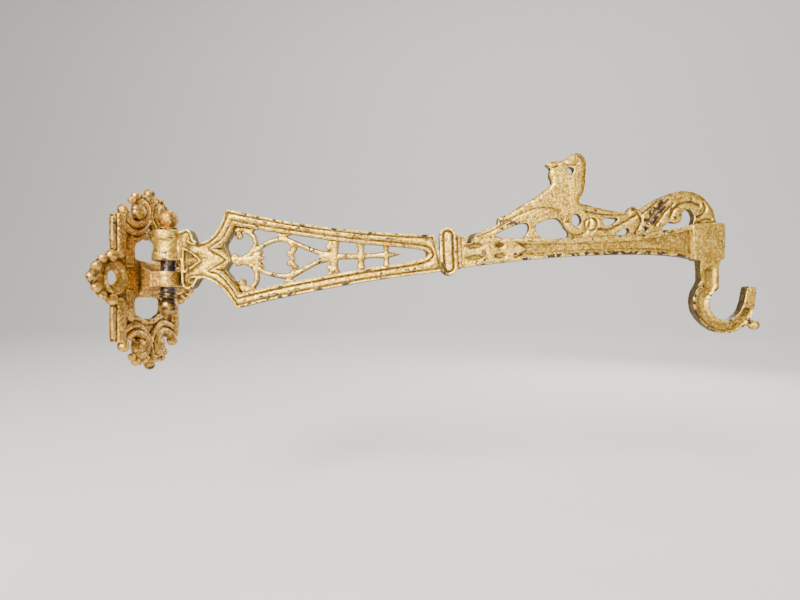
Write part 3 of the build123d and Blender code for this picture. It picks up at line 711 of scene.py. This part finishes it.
def inside(place, rim):
    """Whether each point is inside a closed line."""
    u, v = place.T
    hit = np.zeros(len(place), bool)
    for (u0, v0), (u1, v1) in zip(rim, np.roll(rim, -1, axis=0)):
        if v0 != v1:
            hit ^= ((v0 > v) != (v1 > v)) & (u < (u1 - u0) * (v - v0) / (v1 - v0) + u0)
    return hit


def crown(gap, half):
    """The rounded section of a bead: 1 on its line and 0 at half its width."""
    return np.cos(pi / 2 * np.clip(np.abs(gap) / half, 0, 1)) ** 2


triangle = [(9.6, 7.4), (14.6, 4.4), (18.4, 0.6), (14.2, -2.6), (9.7, -5.3), (9.4, 1.0)]
ear_curls = [
    fair([(19.0, 9.2), (16.0, 9.4), (13.4, 10.0), (12.4, 11.2), (12.9, 12.6)]),
    fair([(19.0, -7.9), (16.0, -8.0), (13.2, -8.2), (12.0, -9.4), (12.6, -11.0), (13.8, -11.2)]),
]
hook_middle = np.vstack([[(287.9, -15.6), (287.8, -23.0)], fair([
    (286.6, -25.4), (283.9, -28.6), (282.8, -32.6), (283.4, -37.0), (286.4, -41.6), (290.8, -44.6),
    (296.2, -45.3), (301.2, -43.8), (304.8, -40.8), (306.9, -37.4)])])
petals = [((158.6, 3.8), (169.6, 2.2)), ((158.4, -3.2), (169.4, -3.2)), ((174.4, 2.9), (179.6, 2.6)),
          ((173.6, -2.8), (180.6, -2.8))]
crest_lines = [
    (fair([(224.0, 19.0), (229, 17.6), (235, 16.8), (241, 16.6), (246.0, 17.0)]), 0.6, 1.6),
    (fair([(229.8, 9.6), (235, 8.8), (240, 10.6), (245, 13.2), (250.0, 16.0)]), 0.7, 1.6),
    (fair([(249.4, 6.6), (252.0, 10.4), (252.6, 14.2), (250.8, 17.2)]), 0.75, 1.5),
    (fair([(256.0, 12.0), (259.0, 15.6), (262.6, 19.2), (267.6, 23.4)]), 0.9, 1.2),
    (fair([(260.4, 10.4), (263.4, 14.2), (266.0, 17.4), (270.0, 21.0)]), 0.8, 1.2),
    (fair([(253.2, 16.6), (257.0, 19.0), (262.0, 22.8)]), 0.7, 1.0),
    (fair([(268.4, 14.6), (270.6, 18.6), (275.0, 21.4), (280.0, 21.8), (283.8, 20.0)]), 0.8, 1.7),
    (fair([(282.4, 13.8), (285.2, 15.0), (287.2, 17.6), (286.2, 20.4)]), 0.8, 1.2),
    (fair([(283.0, 10.8), (286.4, 12.4), (290.0, 12.0)]), 0.6, 1.1),
    (fair([(204.6, 43.9), (207.2, 43.0), (209.6, 43.6)]), 0.6, 0.8),
    (fair([(213.0, 45.2), (215.4, 43.8), (218.4, 43.6), (220.6, 45.2)]), 0.35, 0.9),
    (fair([(182.6, 15.4), (188.0, 18.4), (196.0, 21.2), (204.0, 21.6), (210.0, 19.6)]), 0.35, 1.4),
    (fair([(166.6, 8.4), (172.0, 10.0), (177.0, 12.4), (182.0, 15.0)]), 0.5, 1.2),
]


def frame_relief(place):
    """A bead along the rim and one round the opening, with a soft roll in the channel between."""
    to_rim = reach(place, frame_rim, closed=True)
    to_bead = reach(place, bead_line, closed=True)
    across = to_rim / np.maximum(to_rim + to_bead, 1e-6)
    beads = np.maximum(np.where(to_rim < 0.8, 1, crown(to_rim - 0.8, 0.9)), crown(to_bead, 0.95))
    beads = np.maximum(beads, crown(reach(place, triangle, closed=True), 1.0))
    for curl in ear_curls:
        beads = np.maximum(beads, crown(reach(place, curl), 0.9))
    channel = 1.3 - 0.5 * np.where(to_rim + to_bead < 11, crown(across - 0.5, 0.36), 0.35)
    channel = np.where(inside(place, triangle), 1.35, channel)
    fade = np.clip((place[:, 0] - 7.5) / 2.0, 0, 1)
    wall = np.maximum(np.minimum(np.maximum(to_bead - 0.5, 0), 1.9), channel * (1 - beads) * 0.4)
    return np.where(inside(place, bead_line), wall, channel * (1 - beads) * fade)


def collar_relief(place):
    """A half-round bead lying in a groove."""
    to_line = reach(place, collar_line)
    return 1.1 * crown(to_line - 2.35, 0.9) + 0.15 * (to_line < 1.6)


def bar_relief(place, rim_gap):
    """Four petals, a leaf's tip, and the long channel that opens out of it."""
    u, v = place.T
    start = 190.6 - 1.5 * np.abs(v - 0.2)
    open_channel = np.clip((u - start) / 1.6, 0, 1) * np.clip((rim_gap - 1.3) / 1.8, 0, 1)
    open_channel *= np.clip((279.2 - u) / 1.2, 0, 1)
    leaf = np.zeros(len(u))
    for (u0, v0), (u1, v1) in petals:
        middle_u, middle_v = (u0 + u1) / 2, (v0 + v1) / 2
        lens = ((u - middle_u) / ((u1 - u0) / 2)) ** 2 + ((v - middle_v) / 1.75) ** 2
        leaf = np.maximum(leaf, np.clip((1.2 - lens) / 0.9, 0, 1))
    return np.maximum(1.15 * open_channel, 0.9 * leaf)


def crest_relief(place):
    """A pillowed bird with faint feathers, leaf veins, and a sunk ring below the scroll's eye."""
    u, v = place.T
    pillow = 0.75 * (1 - np.clip(reach(place, crest, closed=True) / 2.4, 0, 1)) ** 2
    for line, deep, half in crest_lines:
        pillow = np.maximum(pillow, deep * crown(reach(place, line), half))
    to_eye = np.hypot(u - 218.4, (v - 14.6) * 0.9)
    pillow = np.maximum(pillow, 0.7 * crown(to_eye - 7.2, 1.8) * np.clip((18 - v) / 5, 0, 1))
    to_boss = np.hypot(u - 226.2, v - 12.0)
    pillow = np.maximum(pillow, 0.6 * crown(to_boss - 3.2, 1.1))
    feathers = (u > 180) & (u < 216) & (v > 15) & (v < 33)
    stroke = np.sin((v * 0.86 - u * 0.5) * 5.2 + 1.3 * np.sin(u * 0.31)) * np.sin(u * 0.9 + v * 0.4)
    return pillow + np.where(feathers, 0.1 * (1 + stroke), 0)


def arm_relief(on_board):
    """How far each point of the arm's faces lies below the full thickness of the pattern."""
    place, level = on_board[:, :2], np.abs(on_board[:, 2])
    u, v = place.T
    rim_gap = np.minimum(np.interp(u, *bar_top.T) - v, v - np.interp(u, *bar_foot[::-1].T))
    on_frame = (level > frame_half(u) - 0.7) & (u > 6) & (u < 145.5) & inside(place, frame_rim)
    on_collar = (np.abs(u - 149.8) < 4.7) & (level > 3.5)
    on_bar = (u > 156.5) & (u < 279.4) & (level > 2.4) & (rim_gap > -0.3)
    on_hook = (v < -11.4) & (u > 277) & (level > 2.5)
    on_crest = (rim_gap < -0.2) & (u > 158) & (u < 293) & (level < 3.0) & (v > 4)
    sunk = np.where(on_frame, frame_relief(place), 0)
    sunk = np.where(on_collar, collar_relief(place), sunk)
    sunk = np.where(on_bar, bar_relief(place, rim_gap), sunk)
    # the hook's channel follows its middle and ends round before the tip
    sunk = np.where(on_hook, 1.05 * np.clip((3.2 - reach(place, hook_middle)) / 1.6, 0, 1), sunk)
    return np.where(on_crest, crest_relief(place), sunk)


def press(piece, drawing, sunk_by):
    """Sinks the relief into the faces that look along the board's out direction, either way."""
    place, facing = skin_of(piece.data)
    look = facing @ outward(drawing)
    hold = np.clip((np.abs(look) - 0.45) / 0.35, 0, 1)
    depth = sunk_by(measured(place, drawing)) * hold * MM
    place -= (np.sign(look) * depth)[:, None] * outward(drawing)
    piece.data.vertices.foreach_set("co", place.ravel())
    piece.data.update()


press(swing_arm, arm_board, arm_relief)
after = swing_arm.modifiers.new("fettled", "SMOOTH")
after.factor, after.iterations = 0.35, 1
apply_all(swing_arm)
arm_knocks = [(u, np.interp(u, *bar_foot[::-1].T), 5) for u in range(200, 280, 9)]
arm_knocks += [(260, 17, 5), (264, 21, 5), (257, 13, 3), (52, 23, 5), (164, 8, 5), (180, 15, 4),
               (168, -8, 5), (100, 13, 4), (60, -20, 5), (283, -25, 5), (291, -27, 4), (279, -32, 5),
               (222, 47, 3), (247, 19, 3), (228, 21, 4), (270, 27, 4), (300, -46, 5), (0, 14, 4)]
arm_knocks += [(*point, 3) for line in (edge_top, edge_foot, hook_out) for point in line[::4]]
wear_shade_and_thin(swing_arm, 190_000, arm_board, 5.0, arm_knocks)
# dark is the painted shade in hollows, under beads and on side walls; bright is pale wear and painted
# highlight
gold_paint = painted_iron(
    "pale_gold_paint_on_cast_iron", paint="#E2B844", dull="#8E6420", dark="#1E1003", bright="#F8E08C",
    iron="#2A1615", chips=0.585, shine=0.36,
)
swing_arm.data.materials.append(gold_paint)
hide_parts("swing_arm")
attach(swing_arm, "arm")

# ---- Floor ----
# A pale seamless studio sweep of matt paper, round, and curved up on every side. It lies well
# below the bracket, which would hang on a wall.
floor_drop, sweep = 0.14, 4.0
bm = bmesh.new()
rings = [(0.0, 0.0), (sweep * 0.55, 0.0)]
rings += [(sweep * (0.55 + 0.45 * sin(a)), sweep * 0.45 * (1 - cos(a))) for a in np.arange(1, 13) * pi / 24]
rings += [(sweep, sweep)]
around = 96
loops = []
for r, z in rings[1:]:
    steps = np.arange(around) * 2 * pi / around
    loops.append([bm.verts.new((r * cos(a), r * sin(a), z - floor_drop)) for a in steps])
centre = bm.verts.new((0, 0, -floor_drop))
for k in range(around):
    bm.faces.new((centre, loops[0][k], loops[0][(k + 1) % around]))
    for low, high in zip(loops, loops[1:]):
        bm.faces.new((low[k], high[k], high[(k + 1) % around], low[(k + 1) % around]))
floor_mesh = bpy.data.meshes.new("studio_sweep")
bm.to_mesh(floor_mesh)
bm.free()
floor_mesh.polygons.foreach_set("use_smooth", [True] * len(floor_mesh.polygons))
floor = bpy.data.objects.new("studio_sweep", floor_mesh)
bpy.context.collection.objects.link(floor)
paper = bpy.data.materials.new("pale_matt_paper")
paper.use_nodes = True
paper.node_tree.nodes["Principled BSDF"].inputs["Base Color"].default_value = linear("#D9D7D3")
paper.node_tree.nodes["Principled BSDF"].inputs["Roughness"].default_value = 0.95
floor.data.materials.append(paper)


# ---- Light ----
# A broad soft window up to the left and in front, a weak lamp square in front, a strip above
# and another lamp behind. One wide wash lights the paper at the back, and one hangs overhead.
def soft_box(name, place, aim, size, watts, colour):
    """An area lamp that points at a spot."""
    lamp = bpy.data.lights.new(name, "AREA")
    lamp.shape, lamp.size, lamp.energy, lamp.color = "DISK", size, watts, linear(colour)[:3]
    holder = bpy.data.objects.new(name, lamp)
    holder.location = place
    holder.rotation_euler = (Vector(aim) - Vector(place)).to_track_quat("-Z", "Y").to_euler()
    bpy.context.collection.objects.link(holder)


target = (0.15, 0.03, 0.0)
soft_box("window", (-0.1, -0.95, 0.55), target, 0.5, 38.0, "#FFF8EE")
soft_box("front", (0.25, -1.2, 0.05), target, 0.6, 5.0, "#FFFAF2")
soft_box("strip", (0.1, 0.25, 0.9), target, 0.3, 3.0, "#FFFFFF")
soft_box("behind", (0.5, 0.8, 0.4), (0, 0, 0), 0.4, 5.0, "#FFFFFF")
soft_box("paper_wash", (0.15, 1.2, 2.2), (0.15, 3.4, 0.6), 1.6, 90.0, "#FFFFFF")
soft_box("overhead", (0.15, 0.0, 2.6), target, 2.4, 26.0, "#FFFFFF")
world = bpy.data.worlds.new("studio")
world.use_nodes = True
world.node_tree.nodes["Background"].inputs["Color"].default_value = linear("#E4E5E8")
world.node_tree.nodes["Background"].inputs["Strength"].default_value = 0.08
bpy.context.scene.world = world

# ---- Camera ----
# A phone's wide lens, square on to the arm and a little below its middle, and close enough to
# see the plate's face aslant.
lens_out, along_arm, below = 0.3092, 0.124, -0.011
level_along = Vector((cos(swing), sin(swing), 0))
stand = Vector((pin_out * MM, 0, below)) + level_along * along_arm + Vector(arm_out) * lens_out
camera = bpy.data.cameras.new("camera")
camera.lens, camera.sensor_width = 26.0, 36.0
camera.clip_start = 0.01
watch = bpy.data.objects.new("camera", camera)
watch.location = stand
watch.rotation_euler = Vector(arm_out).to_track_quat("Z", "Y").to_euler()
bpy.context.collection.objects.link(watch)
bpy.context.scene.camera = watch
